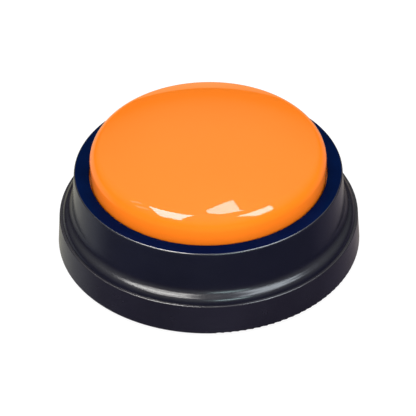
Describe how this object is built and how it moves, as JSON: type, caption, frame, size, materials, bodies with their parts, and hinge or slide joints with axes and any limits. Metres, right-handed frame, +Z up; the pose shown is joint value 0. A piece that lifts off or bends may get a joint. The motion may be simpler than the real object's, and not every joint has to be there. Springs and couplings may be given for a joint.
{
  "type": "quiz buzzer",
  "caption": "Round table-top quiz buzzer: a glossy crowned push button in a polished ring on a bell-shaped black base, with speaker, circuit and battery bay inside.",
  "frame": {"origin": "centre of the resting plane, under the feet, on the button's axis", "axes": "+Z up along the button's axis, -Y the front, +X to the right; the switch and door screw are towards +X"},
  "size_m": [0.09, 0.09, 0.0403],
  "materials": {
    "dome_orange": "high gloss",
    "cover_black": "polished to satin",
    "tray_black": "satin",
    "inner_white": "matt moulded",
    "foot_rubber": "matt",
    "pad_rubber": "matt",
    "screw_steel": "zinc plated",
    "spring_steel": "bright drawn",
    "board_green": "solder mask",
    "chip_resin": "cured resin",
    "capacitor_sleeve": "shrunk sleeve",
    "component_dark": "moulded",
    "switch_body": "moulded",
    "sheet_steel": "pressed, tinned",
    "button_black": "moulded",
    "foam_grey": "closed-cell foam",
    "cone_paper": "pressed paper",
    "magnet_plated": "nickel plated",
    "cell_sleeve": "printed sleeve, plain",
    "contact_nickel": "nickel plated",
    "phenolic_brown": "laminate",
    "knob_black": "moulded",
    "wire_red": "PVC insulation",
    "wire_black": "PVC insulation",
    "wire_white": "PVC insulation",
    "wire_blue": "PVC insulation"
  },
  "bodies": {
    "base": {"lower_housing": "tray_black", "upper_housing": "cover_black", "return_spring_1": "spring_steel", "return_spring_2": "spring_steel", "return_spring_3": "spring_steel", "chassis_plate": "inner_white", "chassis_screws": "screw_steel", "circuit_board": "board_green", "board_screws": "screw_steel", "sound_chip": "chip_resin", "capacitor": "capacitor_sleeve", "resistors": "component_dark", "driver_transistor": "component_dark", "tact_switch_base": "switch_body", "tact_switch_cover": "sheet_steel", "speaker_gasket": "foam_grey", "speaker_frame": "sheet_steel", "speaker_cone": "cone_paper", "speaker_magnet": "magnet_plated", "speaker_retainer": "inner_white", "retainer_screws": "screw_steel", "battery_1": "cell_sleeve", "battery_2": "cell_sleeve", "contact_positive": "contact_nickel", "contact_negative": "contact_nickel", "contact_bridge": "contact_nickel", "power_switch_frame": "sheet_steel", "power_switch_base": "phenolic_brown", "power_switch_screws": "screw_steel", "case_screws": "screw_steel", "foot_1": "foot_rubber", "foot_2": "foot_rubber", "foot_3": "foot_rubber", "foot_4": "foot_rubber", "battery_wire_positive": "wire_red", "battery_wire_negative": "wire_black", "speaker_wire_1": "wire_white", "speaker_wire_2": "wire_blue", "switch_wire_1": "wire_red", "switch_wire_2": "wire_white"},
    "dome": {"dome_button": "dome_orange", "dome_carrier": "inner_white", "striker_pad": "pad_rubber", "carrier_screws": "screw_steel"},
    "switch_actuator": {"tact_switch_actuator": "button_black"},
    "power_knob": {"power_switch_knob": "knob_black"},
    "battery_door": {"battery_door": "tray_black", "door_screw": "screw_steel"}
  },
  "joints": [
    {"name": "dome_press", "type": "slide", "parent": "base", "child": "dome", "axis": [0, 0, -1], "range_m": [0, 0.003], "stiffness_N_per_m": 900, "springref_m": -0.004, "deforming": ["return_spring_1", "return_spring_2", "return_spring_3"]},
    {"name": "tact_switch_press", "type": "slide", "parent": "base", "child": "switch_actuator", "axis": [0, 0, -1], "range_m": [0, 0.00025]},
    {"name": "power_switch_slide", "type": "slide", "parent": "base", "child": "power_knob", "axis": [0, 1, 0], "range_m": [0, 0.0026]},
    {"name": "battery_door_hinge", "type": "hinge", "parent": "base", "child": "battery_door", "pos_m": [-0.025, -0.014, 0.0034], "axis": [0, 1, 0], "range_deg": [0, 30]}
  ],
  "couplings": [
    {"joint": "tact_switch_press", "follows": "dome_press", "ratio": 0.0833}
  ]
}
